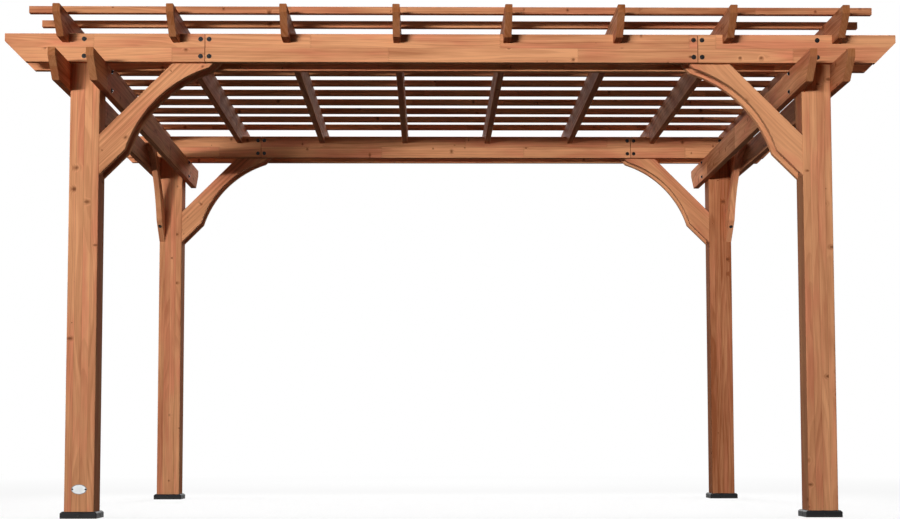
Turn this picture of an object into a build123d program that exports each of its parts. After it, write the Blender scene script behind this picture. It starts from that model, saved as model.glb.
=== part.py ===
from build123d import *
import os
from math import radians, sqrt, tan

# Free-standing timber pergola: four square posts carry a pair of long beams along the front
# and a pair along the back, with a pair of side beams below them at each side. Eight notched
# rafters cross the long beams, and slats lie across the rafters. Arched knee braces stiffen
# every corner. Millimetres, X along the long beams, Y from front to back, Z up. The origin is
# on the ground, at the middle of the plan.

# Posts
post_size = 140
post_edge = 6
post_spacing_x = 3480
post_spacing_y = 2520

# Long beams, each bolted up from three lengths that meet end to end
beam_underside = 2150
beam_height = 136
beam_thickness = 35
beam_overhang = 305
splice_from_post = 500
splice_gap = 3

# Side beams, whose tops carry the long beams
side_beam_height = 132
side_beam_thickness = 34
side_beam_overhang = 315

# Rafters, notched over each long beam, with bevelled long edges
rafter_count = 8
rafter_height = 132
rafter_thickness = 34
rafter_overhang = 205
notch_depth = 44
notch_clearance = 0.5
rafter_bevel = 2.5

# Slats across the rafters, set in from their tips and running on past the outer ones
slat_count = 12
slat_size = 33
slat_overhang = 149
slat_inset = 184
slat_edge = 2.5

# Ends of the beams and rafters: a short upright part, then a sloping cut below it
tail_flat = 38
tail_angle = 45

# Rounding of the long edges of the beams
board_edge = 3

# Knee braces: sloping boards with bevelled edges and an arch cut into the lower one. The
# lands are what the arch leaves of that edge below the post's foot cut and below the beam.
brace_width = 136
brace_thickness = 34
brace_drop = 532
brace_foot_land = 121
brace_head_land = 18
brace_bevel = 2
arch_depth = 68

# Skirts around the feet of the posts
skirt_wall = 15.2
skirt_height = 32
skirt_corner = 4
skirt_bevel = 7
skirt_clearance = 0.3

# Places worked out from the sizes above
beam_top = beam_underside + beam_height
side_beam_underside = beam_underside - side_beam_height
rafter_underside = beam_top - notch_depth
slat_underside = rafter_underside + rafter_height
post_face_x = (post_spacing_x - post_size) / 2
post_face_y = (post_spacing_y - post_size) / 2
outer_face_x = post_face_x + post_size
outer_face_y = post_face_y + post_size
side_beam_end = outer_face_y + side_beam_overhang
rafter_end = outer_face_y + beam_thickness + rafter_overhang
outer_rafter_x = outer_face_x + side_beam_thickness / 2
beam_end = outer_face_x + beam_overhang
splice_x = post_face_x - splice_from_post
slat_end = outer_rafter_x + rafter_thickness / 2 + slat_overhang

os.makedirs("parts", exist_ok=True)


def board_end(at, inward, underside, height, tailed):
    """Corners of one end of a board in side view, from its top to its underside."""
    top = underside + height
    if not tailed:
        return [(at, top), (at, underside)]
    run = (height - tail_flat) / tan(radians(tail_angle))
    return [(at, top), (at, top - tail_flat), (at + inward * run, underside)]


def board_outline(start, end, underside, height, tail_start=True, tail_end=True):
    """Side view of a level board, closed from its start round to its end."""
    first = board_end(start, 1, underside, height, tail_start)
    last = board_end(end, -1, underside, height, tail_end)
    return first + last[::-1]


def make_post(name, x, y):
    """Square post with rounded corners, from the ground to the top of the long beams."""
    with BuildPart() as post:
        with BuildSketch():
            with Locations((x, y)):
                RectangleRounded(post_size, post_size, post_edge)
        extrude(amount=beam_top)
    post.part.label = name
    export_step(post.part, f"parts/{name}.step")


def make_skirt(name, x, y):
    """Square collar with a bevelled rim, standing on the ground round the foot of a post."""
    opening = post_size + 2 * skirt_clearance
    skirt_width = opening + 2 * skirt_wall
    rim_width = skirt_width - 2 * skirt_bevel
    with BuildPart() as skirt:
        with BuildSketch():
            with Locations((x, y)):
                RectangleRounded(skirt_width, skirt_width, skirt_corner)
        extrude(amount=skirt_height - skirt_bevel)
        for height, width in ((skirt_height - skirt_bevel, skirt_width), (skirt_height, rim_width)):
            with BuildSketch(Plane.XY.offset(height)):
                with Locations((x, y)):
                    RectangleRounded(width, width, skirt_corner)
        loft()
        with BuildSketch():
            with Locations((x, y)):
                RectangleRounded(opening, opening, post_edge + skirt_clearance)
        extrude(amount=skirt_height, mode=Mode.SUBTRACT)
    skirt.part.label = name
    export_step(skirt.part, f"parts/{name}.step")


def make_beam_length(name, start, end, y_front, tail_start, tail_end):
    """One length of a long beam, along X, with its front face at y_front."""
    outline = board_outline(start, end, beam_underside, beam_height, tail_start, tail_end)
    with BuildPart() as length:
        with BuildSketch(Plane.YZ.offset(start)):
            with Locations((y_front + beam_thickness / 2, beam_underside + beam_height / 2)):
                RectangleRounded(beam_thickness, beam_height, board_edge)
        extrude(amount=end - start)
        with BuildSketch(Plane.XZ.offset(-y_front - beam_thickness)):
            with BuildLine():
                Polyline(*outline, close=True)
            make_face()
        extrude(amount=beam_thickness, mode=Mode.INTERSECT)
    length.part.label = name
    export_step(length.part, f"parts/{name}.step")


def make_long_beam(name, y_front):
    """A long beam in three lengths, butted over the upper ends of the knee braces."""
    joint = splice_gap / 2
    make_beam_length(f"{name}_left", -beam_end, -splice_x - joint, y_front, True, False)
    make_beam_length(f"{name}_centre", -splice_x + joint, splice_x - joint, y_front, False, False)
    make_beam_length(f"{name}_right", splice_x + joint, beam_end, y_front, False, True)


def make_side_beam(name, x_left):
    """Beam along Y, bolted to two posts, with its left face at x_left."""
    outline = board_outline(-side_beam_end, side_beam_end, side_beam_underside, side_beam_height)
    middle = side_beam_underside + side_beam_height / 2
    with BuildPart() as beam:
        with BuildSketch(Plane.XZ.offset(-side_beam_end)):
            with Locations((x_left + side_beam_thickness / 2, middle)):
                RectangleRounded(side_beam_thickness, side_beam_height, board_edge)
        extrude(amount=2 * side_beam_end)
        with BuildSketch(Plane.YZ.offset(x_left)):
            with BuildLine():
                Polyline(*outline, close=True)
            make_face()
        extrude(amount=side_beam_thickness, mode=Mode.INTERSECT)
    beam.part.label = name
    export_step(beam.part, f"parts/{name}.step")


def make_rafter(name, x):
    """Rafter along Y, notched to sit down over each of the four long beams."""
    outline = board_outline(-rafter_end, rafter_end, rafter_underside, rafter_height)
    notch_width = beam_thickness + 2 * notch_clearance
    outer_notch = outer_face_y + beam_thickness / 2
    inner_notch = post_face_y - beam_thickness / 2
    notch_places = [(side * y, rafter_underside) for side in (-1, 1) for y in (inner_notch, outer_notch)]
    with BuildPart() as rafter:
        with BuildSketch(Plane.XZ.offset(-rafter_end)) as section:
            with Locations((x, rafter_underside + rafter_height / 2)):
                Rectangle(rafter_thickness, rafter_height)
            chamfer(section.vertices(), rafter_bevel)
        extrude(amount=2 * rafter_end)
        with BuildSketch(Plane.YZ.offset(x - rafter_thickness / 2)):
            with BuildLine():
                Polyline(*outline, close=True)
            make_face()
            with Locations(*notch_places):
                Rectangle(notch_width, 2 * notch_depth, mode=Mode.SUBTRACT)
        extrude(amount=rafter_thickness, mode=Mode.INTERSECT)
    rafter.part.label = name
    export_step(rafter.part, f"parts/{name}.step")


def make_slat(name, y):
    """Square slat along X, lying on the rafters."""
    with BuildPart() as slat:
        with BuildSketch(Plane.YZ.offset(-slat_end)):
            with Locations((y, slat_underside + slat_size / 2)):
                RectangleRounded(slat_size, slat_size, slat_edge)
        extrude(amount=2 * slat_end)
    slat.part.label = name
    export_step(slat.part, f"parts/{name}.step")


def make_braces(name, plane, faces, foot, inward, rise):
    """Knee brace boards at one post. Each lies in a plane at one of the offsets in faces.
    The first plane axis runs from the post's face at foot inward, and the second runs up."""

    def at(run, height):
        return (foot + inward * run, beam_underside + height)

    across = brace_width * sqrt(2)
    arch_start = brace_foot_land
    arch_end = brace_drop - brace_head_land
    middle = (arch_start + arch_end) / 2
    half = arch_depth / sqrt(2)
    with BuildPart() as brace:
        for face in faces:
            with BuildSketch(plane.offset(face)):
                with BuildLine():
                    Polyline(at(arch_start, arch_start - brace_drop), at(0, -brace_drop),
                             at(0, across - brace_drop), at(brace_drop - across + rise, rise),
                             at(brace_drop + rise, rise), at(arch_end, arch_end - brace_drop))
                    ThreePointArc(at(arch_end, arch_end - brace_drop),
                                  at(middle - half, middle - brace_drop + half),
                                  at(arch_start, arch_start - brace_drop))
                make_face()
            extrude(amount=brace_thickness)
        square_edges = [edge for axis in (Axis.X, Axis.Y, Axis.Z) for edge in brace.edges().filter_by(axis)]
        long_edges = [edge for edge in brace.edges() if edge not in square_edges]
        chamfer(long_edges, brace_bevel)
    brace.part.label = name
    export_step(brace.part, f"parts/{name}.step")


for end, y_side in (("front", -1), ("back", 1)):
    for hand, x_side in (("left", -1), ("right", 1)):
        corner = f"{end}_{hand}"
        make_post(f"{corner}_post", x_side * post_spacing_x / 2, y_side * post_spacing_y / 2)
        make_skirt(f"{corner}_skirt", x_side * post_spacing_x / 2, y_side * post_spacing_y / 2)

        # Two boards along X, each flush with a face of the post and bolted to its long beam
        flush_front = y_side * post_spacing_y / 2 - post_size / 2
        flush_back = flush_front + post_size - brace_thickness
        make_braces(f"{corner}_long_brace", Plane.XZ, [-flush_front - brace_thickness,
                    -flush_back - brace_thickness], x_side * post_face_x, -x_side, beam_height)

        # One board along Y, flush with the post's outer face and bolted to the outer side beam
        flush_side = min(x_side * outer_face_x, x_side * (outer_face_x - brace_thickness))
        make_braces(f"{corner}_side_brace", Plane.YZ, [flush_side], y_side * post_face_y, -y_side, 0)

make_long_beam("front_outer_beam", -outer_face_y - beam_thickness)
make_long_beam("front_inner_beam", -post_face_y)
make_long_beam("back_inner_beam", post_face_y - beam_thickness)
make_long_beam("back_outer_beam", outer_face_y)

make_side_beam("left_outer_side_beam", -outer_face_x - side_beam_thickness)
make_side_beam("left_inner_side_beam", -post_face_x)
make_side_beam("right_inner_side_beam", post_face_x - side_beam_thickness)
make_side_beam("right_outer_side_beam", outer_face_x)

# The outermost rafters stand over the outer side beams, and the others divide the width evenly
rafter_pitch = 2 * outer_rafter_x / (rafter_count - 1)
for number in range(rafter_count):
    make_rafter(f"rafter_{number + 1}", number * rafter_pitch - outer_rafter_x)

# The first and last slats are set in from the rafters' tips, and the others are evenly spaced
outer_slat_y = rafter_end - slat_inset
slat_pitch = 2 * outer_slat_y / (slat_count - 1)
for number in range(slat_count):
    make_slat(f"slat_{number + 1}", number * slat_pitch - outer_slat_y)
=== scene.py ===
from math import cos, pi, radians, sin

import bmesh
import bpy
from mathutils import Matrix, Vector


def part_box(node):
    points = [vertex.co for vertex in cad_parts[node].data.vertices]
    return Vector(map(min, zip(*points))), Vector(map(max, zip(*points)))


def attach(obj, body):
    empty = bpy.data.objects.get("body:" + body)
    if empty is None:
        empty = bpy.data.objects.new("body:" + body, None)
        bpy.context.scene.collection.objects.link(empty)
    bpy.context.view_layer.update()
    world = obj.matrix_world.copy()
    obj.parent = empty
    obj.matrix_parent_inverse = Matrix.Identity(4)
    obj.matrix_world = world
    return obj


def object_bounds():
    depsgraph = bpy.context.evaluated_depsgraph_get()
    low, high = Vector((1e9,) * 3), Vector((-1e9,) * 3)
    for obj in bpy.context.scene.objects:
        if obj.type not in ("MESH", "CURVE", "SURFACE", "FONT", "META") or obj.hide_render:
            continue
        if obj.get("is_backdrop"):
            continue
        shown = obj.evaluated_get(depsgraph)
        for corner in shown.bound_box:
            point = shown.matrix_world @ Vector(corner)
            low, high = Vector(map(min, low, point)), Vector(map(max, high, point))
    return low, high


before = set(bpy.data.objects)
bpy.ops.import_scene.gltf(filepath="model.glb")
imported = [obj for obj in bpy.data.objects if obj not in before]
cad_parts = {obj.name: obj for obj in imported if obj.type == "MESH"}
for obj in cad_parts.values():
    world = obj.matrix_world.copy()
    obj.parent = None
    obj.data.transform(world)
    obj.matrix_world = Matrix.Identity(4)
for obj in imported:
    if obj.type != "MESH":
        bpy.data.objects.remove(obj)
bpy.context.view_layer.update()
scene = bpy.context.scene

# The view. The photograph was taken from in front, a little left of the middle, at knee height.
# The lens is raised a little on the sensor, and the rest of the framing comes from looking up.
camera = bpy.data.objects.new("camera", bpy.data.cameras.new("camera"))
camera.location = (-0.1109, -8.7536, 0.3506)
camera.rotation_euler = (radians(94.086), radians(0.077), radians(-0.772))
camera.data.lens = 63.24
camera.data.sensor_width = 36
camera.data.shift_y = 0.078
scene.collection.objects.link(camera)
scene.camera = camera
scene.view_settings.view_transform = "Standard"


# Posts. Four square cedar posts carry everything. Each is glued up from four staves, planed,
# rounded along its edges and stained, and its grain runs from the ground to the beams.
def node_adder(tree, prefix=""):
    """A function that adds a node to a tree, with its settings, and its inputs set or linked."""

    def add(kind, inputs=None, **settings):
        node = tree.nodes.new(prefix + kind)
        for setting, value in settings.items():
            setattr(node, setting, value)
        for key, value in (inputs or {}).items():
            if isinstance(value, bpy.types.NodeSocket):
                tree.links.new(value, node.inputs[key])
            else:
                node.inputs[key].default_value = value
        return node

    return add


def blank_material(name):
    """A new material, its shader, a function that adds nodes and one that links to the shader."""
    material = bpy.data.materials.new(name)
    material.use_nodes = True
    tree = material.node_tree
    shader = tree.nodes["Principled BSDF"]

    def connect(source, key):
        tree.links.new(source, shader.inputs[key])

    return material, shader, node_adder(tree, "ShaderNode"), connect


def stained_cedar(node, along, width, seed, tone=0.0, staves=1, piece_length=50.0, variety=0.3):
    """Stained cedar for one board. Growth rings run round a pith that lies beside the board, along
    it, so that faces show flames, edges show lines and ends show arcs. The board may be glued up
    from staves side by side and from finger-jointed pieces end to end, each from another log.
    A higher tone is a deeper colour: a deeper stain, and on the rafters and the back right post partly
    painted shade. Variety is how much the pieces differ in it."""
    pale_stain = (0.80, 0.375, 0.182, 1)
    red_stain = (0.75, 0.282, 0.148, 1)
    deep_stain = (0.30, 0.092, 0.036, 1)
    knot_stain = (0.115, 0.036, 0.015, 1)
    end_stain = (0.27, 0.088, 0.022, 1)
    material, shader, add, connect = blank_material(node)

    def maths(operation, *values):
        return add("Math", dict(enumerate(values)), operation=operation).outputs[0]

    def ramp(value, low, high, to_low=0.0, to_high=1.0, kind="SMOOTHSTEP"):
        given = {"Value": value, "From Min": low, "From Max": high, "To Min": to_low, "To Max": to_high}
        return add("MapRange", given, interpolation_type=kind).outputs["Result"]

    def stretched(vector, scale, shift):
        return add("Mapping", {"Vector": vector, "Scale": scale, "Location": shift}).outputs[0]

    def noise(vector, detail, output="Fac"):
        return add("TexNoise", {"Vector": vector, "Scale": 1.0, "Detail": detail}).outputs[output]

    def mixed(share, first, second):
        return add("Mix", {0: share, 6: first, 7: second}, data_type="RGBA").outputs[2]

    # The board's own directions: along it, through its thickness and across its width
    along, width = Vector(along).normalized(), Vector(width).normalized()
    turn = Matrix((along, width.cross(along), width))
    low_corner, high_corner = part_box(node)
    centre = (low_corner + high_corner) / 2
    size = high_corner - low_corner
    across = max(abs(step * reach) for step, reach in zip(width, size))
    thickness = min(size)
    coordinates = add("TexCoord")
    board = add("Mapping", {"Vector": coordinates.outputs["Object"], "Rotation": turn.to_euler(),
                            "Location": -(turn @ centre)}).outputs[0]
    run, depth, rise = add("SeparateXYZ", {0: board}).outputs

    # Which stave and which jointed piece a point is in, and three random numbers for it. The staves
    # add up to a hair more than the board's width, so that its edge is in the last of them.
    stave_surplus = 1.001
    stave_stagger, seed_stagger, first_stagger = 0.37, 0.618, 20
    finger_width, finger_slope = 0.0021, 4.0
    piece_shift = (0.83, 1.27, 0.59)
    stave_width = across * stave_surplus / staves
    stave_share = maths("DIVIDE", maths("ADD", rise, across / 2), stave_width)
    stave = maths("FLOOR", stave_share)
    finger = maths("MULTIPLY", maths("PINGPONG", rise, finger_width), finger_slope)
    stagger = maths("MULTIPLY_ADD", stave, stave_stagger, first_stagger + seed * seed_stagger)
    piece_share = maths("DIVIDE", maths("ADD", maths("ADD", run, finger), stagger), piece_length)
    piece = maths("FLOOR", piece_share)
    cell = add("CombineXYZ", {0: piece, 1: stave, 2: float(seed)}).outputs[0]
    luck = add("SeparateColor", {0: add("TexWhiteNoise", {"Vector": cell}).outputs["Color"]}).outputs
    log_shift = add("VectorMath", {0: cell, 1: piece_shift}, operation="MULTIPLY").outputs[0]
    log = add("VectorMath", {0: board, 1: log_shift}, operation="ADD").outputs[0]

    # Growth rings round the pith, which wander, and swell past every knot. The knots are where
    # branches grew out from the pith, so they are spread along it and round it.
    pith_distance, pith_distance_range = 0.045, 0.05
    pith_shift_range = 0.12
    ring_spacing = 0.0048
    ring_waver, ring_swelling = 0.034, 0.0055
    log_taper = 0.006
    years_scale = 95.0
    knot_spacing = 0.10
    mean_radius = 0.06 + thickness / 2
    knot_shift_along, knot_shift_round = 7.0, 5.0
    share_without_knot = 0.58
    smallest_knot, largest_knot = 0.0003, 0.0088
    waver = noise(stretched(log, (1.3, 6, 6), (0, seed * 1.3, 0)), 1.0)
    pith_depth = maths("MULTIPLY_ADD", luck[1], pith_distance_range, pith_distance + thickness / 2)
    pith_rise = maths("MULTIPLY_ADD", luck[2], pith_shift_range, -pith_shift_range / 2)
    off_side = maths("ADD", depth, pith_depth)
    off_edge = maths("ADD", rise, pith_rise)
    radius = maths("SQRT", maths("ADD", maths("MULTIPLY", off_side, off_side),
                                 maths("MULTIPLY", off_edge, off_edge)))
    sweep = maths("MULTIPLY", maths("ARCTAN2", off_edge, off_side), mean_radius)
    branch_run = maths("ADD", run, maths("MULTIPLY", luck[1], knot_shift_along))
    branch_sweep = maths("ADD", sweep, maths("MULTIPLY", luck[2], knot_shift_round))
    branches = add("CombineXYZ", {0: branch_run, 1: branch_sweep}).outputs[0]
    knots = add("TexVoronoi", {"Vector": branches, "Scale": 1 / knot_spacing}, voronoi_dimensions="2D")
    knot_luck = add("SeparateColor", {0: knots.outputs["Color"]}).outputs[0]
    knot_size = ramp(knot_luck, share_without_knot, 1.0, smallest_knot, largest_knot, "LINEAR")
    knot_reach = maths("DIVIDE", maths("MULTIPLY", knots.outputs["Distance"], knot_spacing), knot_size)
    knot = ramp(knot_reach, 0.40, 1.35, 1.0, 0.0)
    swelling = ramp(knot_reach, 0.6, 3.2, ring_swelling, 0.0)
    radius = maths("MULTIPLY_ADD", waver, ring_waver, radius)
    radius = maths("ADD", maths("MULTIPLY_ADD", run, log_taper, radius), swelling)
    ring_share = maths("FRACT", maths("DIVIDE", radius, ring_spacing))
    ring = maths("MULTIPLY", ramp(ring_share, 0.15, 0.86), ramp(ring_share, 0.9, 1.0, 1.0, 0.0))
    years = add("TexNoise", {"W": maths("MULTIPLY", radius, years_scale), "Scale": 1.0, "Detail": 2.0},
                noise_dimensions="1D").outputs["Fac"]

    # Fibres, and slow changes in how the wood took the stain
    mean_stain = 0.25
    years_strength, ring_strength, ring_shift = 0.85, 0.16, -0.50
    fibre_strength, streak_strength, patch_strength = 0.40, 0.50, 0.90
    knot_shade, knot_darkness = 0.26, 0.66
    fibre = noise(stretched(log, (11, 330, 330), (seed, 0, 0)), 2.0)
    streak = noise(stretched(log, (2.4, 62, 62), (0, seed, 0)), 2.0)
    patch_colour = noise(stretched(log, (2.2, 11, 11), (0, 0, seed * 0.9)), 3.0, "Color")
    patches = add("SeparateColor", {0: patch_colour}).outputs
    ring_stain = maths("MULTIPLY_ADD", ring, ring_strength, ring_shift)
    stain = maths("MULTIPLY_ADD", years, years_strength, ring_stain)
    patterns = ((fibre, fibre_strength), (streak, streak_strength), (patches[0], patch_strength))
    for pattern, strength in patterns:
        stain = maths("ADD", stain, maths("MULTIPLY_ADD", pattern, strength, -strength / 2))
    # The tone deepens the whole board; on the rafters and the back right post part of it is painted
    # shade.
    stain = maths("ADD", stain, maths("MULTIPLY_ADD", luck[0], variety, tone + mean_stain - variety / 2))
    stain = maths("ADD", stain, ramp(knot_reach, 0.9, 2.4, knot_shade, 0.0))
    redness = ramp(patches[1], 0.42, 0.66)
    colour = mixed(redness, pale_stain, red_stain)
    colour = mixed(ramp(stain, 0.0, 1.0, kind="LINEAR"), colour, deep_stain)
    colour = mixed(maths("MULTIPLY", knot, knot_darkness), colour, knot_stain)

    # Glue lines between staves and pieces, and darker end grain
    stave_joint, piece_joint = (0.0003, 0.0009), (0.0004, 0.0012)
    glue_darkness, end_darkness = 0.45, 0.60

    def glue_line(share, spacing, joint):
        """1 in the joints that come once in every spacing, and 0 beside them."""
        off_middle = maths("SUBTRACT", maths("FRACT", maths("ADD", share, 0.5)), 0.5)
        return ramp(maths("MULTIPLY", maths("ABSOLUTE", off_middle), spacing), *joint, 1.0, 0.0)

    glue = maths("MAXIMUM", glue_line(stave_share, stave_width, stave_joint),
                 glue_line(piece_share, piece_length, piece_joint))
    slant = add("VectorMath", {0: coordinates.outputs["Normal"], 1: along}, operation="DOT_PRODUCT")
    end_grain = ramp(maths("ABSOLUTE", slant.outputs["Value"]), 0.45, 0.8)
    colour = mixed(maths("MULTIPLY", glue, glue_darkness), colour, knot_stain)
    colour = mixed(maths("MULTIPLY", end_grain, end_darkness), colour, end_stain)
    connect(colour, "Base Color")

    # The stain is matt, a little glossier on the hard late wood, and the fibres stand up in it
    palest_roughness, deepest_roughness = 0.92, 0.78
    fibre_height, ring_height, sunk_height, relief = 0.6, 0.35, 0.5, 0.0006
    connect(ramp(stain, 0.0, 1.0, palest_roughness, deepest_roughness, "LINEAR"), "Roughness")
    height = maths("MULTIPLY_ADD", fibre, fibre_height, maths("MULTIPLY", ring, ring_height))
    sunk = maths("MULTIPLY", maths("MAXIMUM", glue, knot), sunk_height)
    height = maths("SUBTRACT", height, sunk)
    bump = add("Bump", {"Height": height, "Strength": 0.5, "Distance": relief})
    connect(bump.outputs["Normal"], "Normal")
    shader.inputs["Specular IOR Level"].default_value = 0.015
    return material


def finish_node(node, material):
    """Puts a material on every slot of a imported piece."""
    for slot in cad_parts[node].material_slots:
        slot.material = material


up, right, back = (0, 0, 1), (1, 0, 0), (0, 1, 0)
corners = [(end, hand) for end in ("front", "back") for hand in ("left", "right")]
# The back right post's much deeper tone is mostly painted shade, over a mild difference in its timber.
post_tones = (-0.03, 0.05, 0.06, 0.52)
for seed, ((end, hand), tone) in enumerate(zip(corners, post_tones), 1):
    post = f"{end}_{hand}_post"
    finish_node(post, stained_cedar(post, up, right, seed, tone=tone, staves=4, variety=0.12))

# Skirts. A collar of pressed steel, powder-coated black, hides the foot of each post. It is
# slipped over the post and held by a screw through each side. Dust has settled low down on it.
coat_black, dust_brown = (0.012, 0.012, 0.013, 1), (0.10, 0.085, 0.07, 1)
dusty_height, most_dust = 0.014, 0.3
black_powder_coat, shader, add, connect = blank_material("black_powder_coat")
place = add("TexCoord").outputs["Object"]
speckle = add("TexNoise", {"Vector": place, "Scale": 900.0, "Detail": 2.0}).outputs["Fac"]
dust = add("TexNoise", {"Vector": place, "Scale": 22.0, "Detail": 4.0}).outputs["Fac"]
height = add("SeparateXYZ", {0: place}).outputs[2]
low_down = add("MapRange", {"Value": height, "From Min": dusty_height, "From Max": 0.0,
                            "To Max": most_dust})
dusty = add("Math", {0: dust, 1: low_down.outputs[0]}, operation="MULTIPLY").outputs[0]
coat = add("Mix", {0: dusty, 6: coat_black, 7: dust_brown}, data_type="RGBA")
connect(coat.outputs[2], "Base Color")
connect(add("MapRange", {"Value": dust, "To Min": 0.42, "To Max": 0.66}).outputs[0], "Roughness")
connect(add("Bump", {"Height": speckle, "Strength": 0.3, "Distance": 0.0003}).outputs["Normal"], "Normal")
shader.inputs["Specular IOR Level"].default_value = 0.12
for end, hand in corners:
    finish_node(f"{end}_{hand}_skirt", black_powder_coat)


# Bolts and screws. Black hex bolts on washers hold the beams and the side braces, and smaller pan
# heads hold the skirts and the long braces. Each kind is one mesh, set out by Geometry Nodes on
# points that carry the direction in which the head faces.
def fastener_tree():
    """Sets a washer and a head on every point, turned by chance about its own axis."""
    washer_sides = 24
    crown_taper = 0.62
    sunk = 0.0004
    tree = bpy.data.node_groups.new("fasteners", "GeometryNodeTree")
    tree.is_modifier = True
    sockets = (("Points", "Geometry"), ("Washer Radius", "Float"), ("Washer Thickness", "Float"),
               ("Head Radius", "Float"), ("Head Height", "Float"), ("Head Sides", "Int"),
               ("Crown Height", "Float"), ("Seed", "Int"), ("Material", "Material"))
    for socket, kind in sockets:
        tree.interface.new_socket(socket, in_out="INPUT", socket_type="NodeSocket" + kind)
    tree.interface.new_socket("Geometry", in_out="OUTPUT", socket_type="NodeSocketGeometry")
    add = node_adder(tree)

    def maths(operation, first, second):
        return add("ShaderNodeMath", {0: first, 1: second}, operation=operation).outputs[0]

    def disc(sides, low_radius, high_radius, low, thickness):
        """A short drum or cone frustum that stands on the height low."""
        cone = add("GeometryNodeMeshCone", {"Vertices": sides, "Radius Top": high_radius,
                                            "Radius Bottom": low_radius, "Depth": thickness})
        lift = add("ShaderNodeCombineXYZ", {2: low})
        moved = add("GeometryNodeTransform", {"Geometry": cone.outputs["Mesh"],
                                              "Translation": lift.outputs[0]})
        return moved.outputs[0]

    given = add("NodeGroupInput").outputs
    washer_top = given["Washer Thickness"]
    head_top = maths("ADD", washer_top, given["Head Height"])
    crown_radius = maths("MULTIPLY", given["Head Radius"], crown_taper)
    parts = (disc(washer_sides, given["Washer Radius"], given["Washer Radius"], -sunk,
                  maths("ADD", washer_top, sunk)),
             disc(given["Head Sides"], given["Head Radius"], given["Head Radius"], 0.0, head_top),
             disc(given["Head Sides"], given["Head Radius"], crown_radius, head_top,
                  given["Crown Height"]))
    join = add("GeometryNodeJoinGeometry")
    for part in parts:
        tree.links.new(part, join.inputs[0])
    facing = add("GeometryNodeInputNamedAttribute", {"Name": "facing"}, data_type="FLOAT_VECTOR")
    aim = add("FunctionNodeAlignRotationToVector", {"Vector": facing.outputs[0]}, axis="Z")
    chance = add("FunctionNodeRandomValue", {"Min": 0.0, "Max": pi, "Seed": given["Seed"]},
                 data_type="FLOAT")
    spin = add("FunctionNodeAxisAngleToRotation", {"Axis": (0, 0, 1), "Angle": chance.outputs[1]})
    turned = add("FunctionNodeRotateRotation", {"Rotation": aim.outputs[0], "Rotate By": spin.outputs[0]},
                 rotation_space="LOCAL")
    points = add("GeometryNodeMeshToPoints", {"Mesh": given["Points"]})
    instances = add("GeometryNodeInstanceOnPoints", {"Points": points.outputs[0],
                                                     "Instance": join.outputs[0],
                                                     "Rotation": turned.outputs[0]})
    real = add("GeometryNodeRealizeInstances", {"Geometry": instances.outputs[0]})
    painted = add("GeometryNodeSetMaterial", {"Geometry": real.outputs[0], "Material": given["Material"]})
    add("NodeGroupOutput", {"Geometry": painted.outputs[0]})
    return tree


fasteners = fastener_tree()


def fix(name, places, sizes, material, seed):
    """One mesh of bolts or screws. places is a list of points and the directions that heads face."""
    points = bpy.data.meshes.new(name + "_points")
    points.from_pydata([place for place, direction in places], [], [])
    facing = points.attributes.new("facing", "FLOAT_VECTOR", "POINT")
    for number, (place, direction) in enumerate(places):
        facing.data[number].vector = direction
    holder = bpy.data.objects.new(name + "_points", points)
    scene.collection.objects.link(holder)
    modifier = holder.modifiers.new("fasteners", "NODES")
    modifier.node_group = fasteners
    given = dict(sizes, Seed=seed, Material=material)
    for item in fasteners.interface.items_tree:
        if item.in_out == "INPUT" and item.name in given:
            modifier[item.identifier] = given[item.name]
    bpy.context.view_layer.update()
    made = holder.evaluated_get(bpy.context.evaluated_depsgraph_get())
    mesh = bpy.data.meshes.new_from_object(made)
    bpy.data.objects.remove(holder)
    piece = bpy.data.objects.new(name, mesh)
    scene.collection.objects.link(piece)
    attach(piece, "root")


def dark_metal(name, colour, roughness):
    """Oiled black or bronze-plated steel, darker and duller in places under a little grime."""
    grime_shade, grime_roughness = 0.55, 0.25
    material, shader, add, connect = blank_material(name)
    place = add("TexCoord").outputs["Object"]
    grime = add("TexNoise", {"Vector": place, "Scale": 160.0, "Detail": 3.0}).outputs["Fac"]
    dull = tuple(grime_shade * channel for channel in colour)
    tint = add("Mix", {0: grime, 6: (*colour, 1), 7: (*dull, 1)}, data_type="RGBA")
    connect(tint.outputs[2], "Base Color")
    sheen = add("MapRange", {"Value": grime, "To Min": roughness, "To Max": roughness + grime_roughness})
    connect(sheen.outputs[0], "Roughness")
    shader.inputs["Metallic"].default_value = 0.3
    shader.inputs["Specular IOR Level"].default_value = 0.25
    return material


black_steel = dark_metal("black_steel", (0.014, 0.012, 0.011), 0.28)
screw_sizes = {"Washer Radius": 0.0042, "Washer Thickness": 0.0004, "Head Radius": 0.0040,
               "Head Height": 0.0012, "Head Sides": 16, "Crown Height": 0.0011}
skirt_screw_height = 0.013
skirt_screws = []
for end, hand in corners:
    low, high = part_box(f"{end}_{hand}_skirt")
    middle = (low + high) / 2
    reach = (high.x - low.x) / 2
    for x, y in ((0, -1), (1, 0), (0, 1), (-1, 0)):
        place = Vector((middle.x + x * reach, middle.y + y * reach, skirt_screw_height))
        skirt_screws.append((place, Vector((x, y, 0))))
fix("skirt_screws", skirt_screws, screw_sizes, black_steel, 3)

# Side beams. Two boards run from front to back at each side, bolted to the outer and inner
# faces of the posts just under the long beams, with their ends cut off at a slope.
side_beams = [f"{hand}_{side}_side_beam" for hand in ("left", "right") for side in ("outer", "inner")]
for seed, beam in enumerate(side_beams, 11):
    finish_node(beam, stained_cedar(beam, back, up, seed, tone=0.2, piece_length=0.9))

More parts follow.
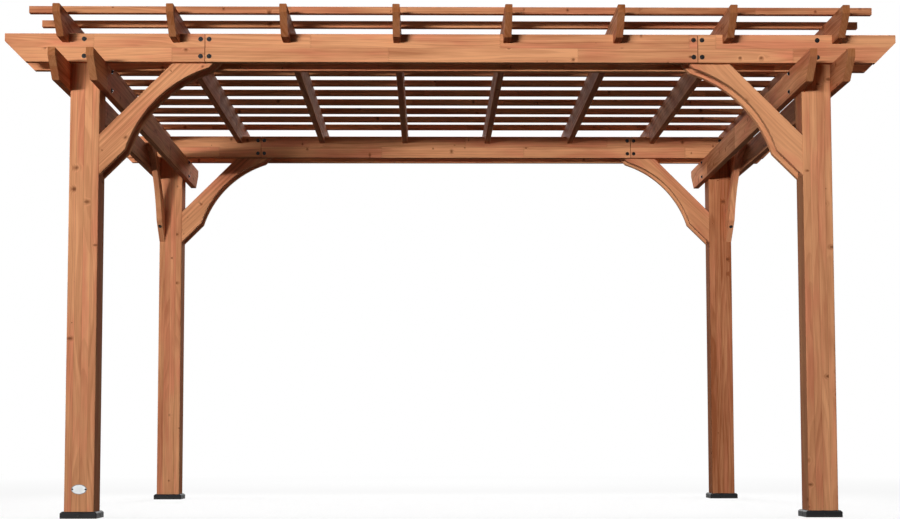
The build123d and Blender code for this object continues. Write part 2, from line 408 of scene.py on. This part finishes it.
bolt_sizes = {"Washer Radius": 0.0112, "Washer Thickness": 0.0022, "Head Radius": 0.0074,
              "Head Height": 0.0045, "Head Sides": 6, "Crown Height": 0.0018}
side_bolt_inset = 0.035
side_bolt_heights = (0.024, 0.115)
side_bolts = []
for beam in side_beams:
    low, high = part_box(beam)
    hand = beam.split("_")[0]
    for end in ("front", "back"):
        post_low, post_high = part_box(f"{end}_{hand}_post")
        inward = 1 if end == "front" else -1
        y = (post_low.y + post_high.y) / 2 + inward * side_bolt_inset
        free_side = 1 if low.x + high.x > post_low.x + post_high.x else -1
        x = high.x if free_side > 0 else low.x
        for rise in side_bolt_heights:
            side_bolts.append((Vector((x, y, low.z + rise)), Vector((free_side, 0, 0))))
fix("side_beam_bolts", side_bolts, bolt_sizes, black_steel, 5)

# Long beams. A pair along the front and a pair along the back clasp the posts. Each is three
# boards that meet over the knee braces, with bolts through the posts and beside each joint.
long_beams = ["front_outer_beam", "front_inner_beam", "back_inner_beam", "back_outer_beam"]
boards = [f"{beam}_{part}" for beam in long_beams for part in ("left", "centre", "right")]
for seed, board in enumerate(boards, 21):
    finish_node(board, stained_cedar(board, right, up, seed, staves=2, piece_length=0.9, variety=0.22))

post_low, post_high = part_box("front_right_post")
post_middle = (post_low.x + post_high.x) / 2
joint_middle = (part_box("front_outer_beam_centre")[1].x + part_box("front_outer_beam_right")[0].x) / 2
joint_bolt_spread = 0.020
beam_bolt_inset = 0.027
beam_bolts = []
for beam, free_side in zip(long_beams, (-1, 1, -1, 1)):
    low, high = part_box(f"{beam}_centre")
    y = high.y if free_side > 0 else low.y
    for x in (post_middle, joint_middle - joint_bolt_spread, joint_middle + joint_bolt_spread):
        for z in (low.z + beam_bolt_inset, high.z - beam_bolt_inset):
            beam_bolts += [(Vector((side * x, y, z)), Vector((0, free_side, 0))) for side in (-1, 1)]
fix("long_beam_bolts", beam_bolts, bolt_sizes, black_steel, 7)

# Knee braces. Sloping boards with an arch cut out below stiffen each corner: two along the long
# beams, with two screws up through the foot of each, and one along the side, with a bolt there.
foot_screw_runs = (0.016, 0.086)
foot_bolt_run = 0.087
side_brace_low, side_brace_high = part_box("front_left_side_brace")
board_thickness = side_brace_high.x - side_brace_low.x
brace_screws, brace_bolts = [], []
for number, (end, hand) in enumerate(corners):
    inward_x = 1 if hand == "left" else -1
    inward_y = 1 if end == "front" else -1
    brace = f"{end}_{hand}_long_brace"
    finish_node(brace, stained_cedar(brace, (inward_x, 0, 1), (-inward_x, 0, 1), 41 + number))
    low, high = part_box(brace)
    foot_x = low.x if inward_x > 0 else high.x
    for y in (low.y + board_thickness / 2, high.y - board_thickness / 2):
        for run in foot_screw_runs:
            place = Vector((foot_x + inward_x * run, y, low.z + run))
            brace_screws.append((place, Vector((inward_x, 0, -1)).normalized()))
    brace = f"{end}_{hand}_side_brace"
    finish_node(brace, stained_cedar(brace, (0, inward_y, 1), (0, -inward_y, 1), 51 + number, tone=0.1))
    low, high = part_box(brace)
    foot_y = low.y if inward_y > 0 else high.y
    place = Vector(((low.x + high.x) / 2, foot_y + inward_y * foot_bolt_run, low.z + foot_bolt_run))
    brace_bolts.append((place, Vector((0, inward_y, -1)).normalized()))
bronze_screw = dark_metal("bronze_screw", (0.13, 0.075, 0.04), 0.40)
fix("brace_screws", brace_screws, screw_sizes, bronze_screw, 8)
fix("brace_bolts", brace_bolts, bolt_sizes, black_steel, 9)

# Rafters. Eight notched boards sit down over the long beams, from front to back, with the same
# sloping cut at each end. Their colour is deeper than that of the beams, partly a deeper stain and
# partly painted shade for the dark inside of the roof.
rafter_count = 8
rafters = [f"rafter_{number + 1}" for number in range(rafter_count)]
for seed, rafter in enumerate(rafters, 61):
    finish_node(rafter, stained_cedar(rafter, back, up, seed, tone=0.46, piece_length=0.8))

# Slats. Twelve square battens lie across the rafters, with one countersunk screw down into each
# rafter that they cross.
slat_count = 12
slats = [f"slat_{number + 1}" for number in range(slat_count)]
for seed, slat in enumerate(slats, 81):
    finish_node(slat, stained_cedar(slat, right, up, seed, tone=0.26, piece_length=0.55))

deck_screw_sizes = {"Washer Radius": 0.0041, "Washer Thickness": 0.0001, "Head Radius": 0.0022,
                    "Head Height": 0.0001, "Head Sides": 6, "Crown Height": 0.0001}
slat_screws = []
for slat in slats:
    low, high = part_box(slat)
    for rafter in rafters:
        rafter_low, rafter_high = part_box(rafter)
        place = Vector(((rafter_low.x + rafter_high.x) / 2, (low.y + high.y) / 2, high.z))
        slat_screws.append((place, Vector((0, 0, 1))))
fix("slat_screws", slat_screws, deck_screw_sizes, bronze_screw, 11)

# The oval plate. A small plate of pale enamelled metal, with a raised rim that is grey at the edge,
# is held by two screws to the front of the front left post near its foot. It is bare.
plate_width, plate_height, plate_thickness, plate_rim = 0.072, 0.046, 0.0016, 0.0032
plate_centre_height = 0.1355
plate_screw_inset = 0.0055
around = 64
post_low, post_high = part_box("front_left_post")
plate_x = (post_low.x + post_high.x) / 2
shape = bmesh.new()
rings = ((0.0, 0.0), (0.0, plate_thickness), (plate_rim * 0.4, plate_thickness * 1.5),
         (plate_rim, plate_thickness * 1.5), (plate_rim * 1.3, plate_thickness))
loops = []
for inset, proud in rings:
    loop = []
    for step in range(around):
        turn = 2 * pi * step / around
        x = plate_x + (plate_width / 2 - inset) * cos(turn)
        z = plate_centre_height + (plate_height / 2 - inset) * sin(turn)
        loop.append(shape.verts.new((x, post_low.y - proud, z)))
    loops.append(loop)
for outer, inner in zip(loops, loops[1:]):
    for step in range(around):
        after = (step + 1) % around
        shape.faces.new((outer[step], outer[after], inner[after], inner[step]))
shape.faces.new(loops[-1])
shape.faces.new(list(reversed(loops[0])))
bmesh.ops.recalc_face_normals(shape, faces=shape.faces)
mesh = bpy.data.meshes.new("oval_plate")
shape.to_mesh(mesh)
shape.free()
plate = bpy.data.objects.new("oval_plate", mesh)
scene.collection.objects.link(plate)

enamel_white, enamel_grey, rim_grey = (0.74, 0.76, 0.76, 1), (0.58, 0.61, 0.62, 1), (0.20, 0.21, 0.22, 1)
rim_start, rim_end = 0.86, 0.94
pale_enamel, shader, add, connect = blank_material("pale_enamel")
place = add("TexCoord").outputs["Object"]
middle = (plate_x, 0, plate_centre_height)
to_oval = (2 / plate_width, 0, 2 / plate_height)
from_middle = add("VectorMath", {0: place, 1: middle}, operation="SUBTRACT").outputs[0]
stretch = add("VectorMath", {0: from_middle, 1: to_oval}, operation="MULTIPLY").outputs[0]
reach = add("VectorMath", {0: stretch}, operation="LENGTH").outputs["Value"]
rim = add("MapRange", {"Value": reach, "From Min": rim_start, "From Max": rim_end},
          interpolation_type="SMOOTHSTEP").outputs[0]
cloud = add("TexNoise", {"Vector": place, "Scale": 55.0, "Detail": 3.0}).outputs["Fac"]
face = add("Mix", {0: cloud, 6: enamel_white, 7: enamel_grey}, data_type="RGBA").outputs[2]
connect(add("Mix", {0: rim, 6: face, 7: rim_grey}, data_type="RGBA").outputs[2], "Base Color")
connect(add("MapRange", {"Value": cloud, "To Min": 0.25, "To Max": 0.45}).outputs[0], "Roughness")
mesh.materials.append(pale_enamel)
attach(plate, "root")

plate_screws = []
for side in (-1, 1):
    x = plate_x + side * (plate_width / 2 - plate_screw_inset)
    place = Vector((x, post_low.y - plate_thickness, plate_centre_height))
    plate_screws.append((place, Vector((0, -1, 0))))
fix("plate_screws", plate_screws, screw_sizes, black_steel, 13)


# The floor and the light. A pale studio floor fades into a white surround, and both light the part
# less than they look. The main lamp is long and soft, in front on the left at roof height. A far
# one stands low on the same side, and others are behind, above and at both sides.
def seen_directly(add):
    """1 for what is seen straight, in a reflection or through glass, and 0 for what gives light."""
    rays = add("LightPath").outputs
    seen = add("Math", {0: rays["Is Camera Ray"], 1: rays["Is Glossy Ray"]}, operation="MAXIMUM")
    seen = add("Math", {0: seen.outputs[0], 1: rays["Is Transmission Ray"]}, operation="MAXIMUM")
    return seen.outputs[0]


floor_radius = 60
fade_start, fade_end = 3.0, 9.0
near_glow = 0.85
unseen_grey = 0.09
bpy.ops.mesh.primitive_circle_add(vertices=96, radius=floor_radius, fill_type="NGON")
floor = bpy.context.object
floor.name = "floor"
pale_floor, shader, add, connect = blank_material("pale_floor")
place = add("TexCoord").outputs["Object"]
distance = add("VectorMath", {0: place}, operation="LENGTH").outputs["Value"]
far = add("MapRange", {"Value": distance, "From Min": fade_start, "From Max": fade_end,
                       "To Min": near_glow, "To Max": 1.0}, interpolation_type="SMOOTHSTEP")
matt = add("BsdfDiffuse", {"Color": (1, 1, 1, 1)})
glow = add("Emission", {"Color": (1, 1, 1, 1), "Strength": 1.0})
seen = add("MixShader", {0: far.outputs["Result"], 1: matt.outputs[0], 2: glow.outputs[0]})
unseen = add("BsdfDiffuse", {"Color": (unseen_grey, unseen_grey, unseen_grey, 1)})
both = add("MixShader", {0: seen_directly(add), 1: unseen.outputs[0], 2: seen.outputs[0]})
surface = pale_floor.node_tree.nodes["Material Output"].inputs["Surface"]
pale_floor.node_tree.links.new(both.outputs[0], surface)
floor.data.materials.append(pale_floor)
floor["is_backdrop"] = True

ambient = 0.05
world = bpy.data.worlds.new("surround")
scene.world = world
world.use_nodes = True
add = node_adder(world.node_tree, "ShaderNode")
strength = add("Math", {0: seen_directly(add), 1: 1 - ambient, 2: ambient}, operation="MULTIPLY_ADD")
background = world.node_tree.nodes["Background"]
background.inputs["Color"].default_value = (1, 1, 1, 1)
world.node_tree.links.new(strength.outputs[0], background.inputs["Strength"])

# The lamps: each one's name, place, target, width, height, spread in degrees and power in watts
lamps = (("front", (-4.2, -12, 1.9), (0.5, -1.3, 5.6), 3.4, 0.9, 74, 160),
         ("far", (-13, -39.5, 0.7), (0, 0, 1.9), 6.0, 0.8, 60, 760),
         ("behind", (0, 7.2, 4.6), (0, 0, 2.0), 2.0, 2.4, 180, 360),
         ("above", (0, 0, 5.2), (0, 0, 0), 5.0, 4.0, 20, 40),
         ("left", (-4.6, 0, 2.06), (0, 0, 2.06), 4.4, 0.15, 180, 38),
         ("right", (4.6, 0, 2.06), (0, 0, 2.06), 4.4, 0.15, 180, 46))
for name, place, target, wide, tall, spread, power in lamps:
    lamp = bpy.data.lights.new(name, "AREA")
    lamp.shape = "RECTANGLE"
    lamp.size = wide
    lamp.size_y = tall
    lamp.spread = radians(spread)
    lamp.energy = power
    holder = bpy.data.objects.new(name, lamp)
    holder.location = place
    holder.rotation_euler = (Vector(target) - Vector(place)).to_track_quat("-Z", "Y").to_euler()
    holder.visible_camera = False
    scene.collection.objects.link(holder)

low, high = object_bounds()
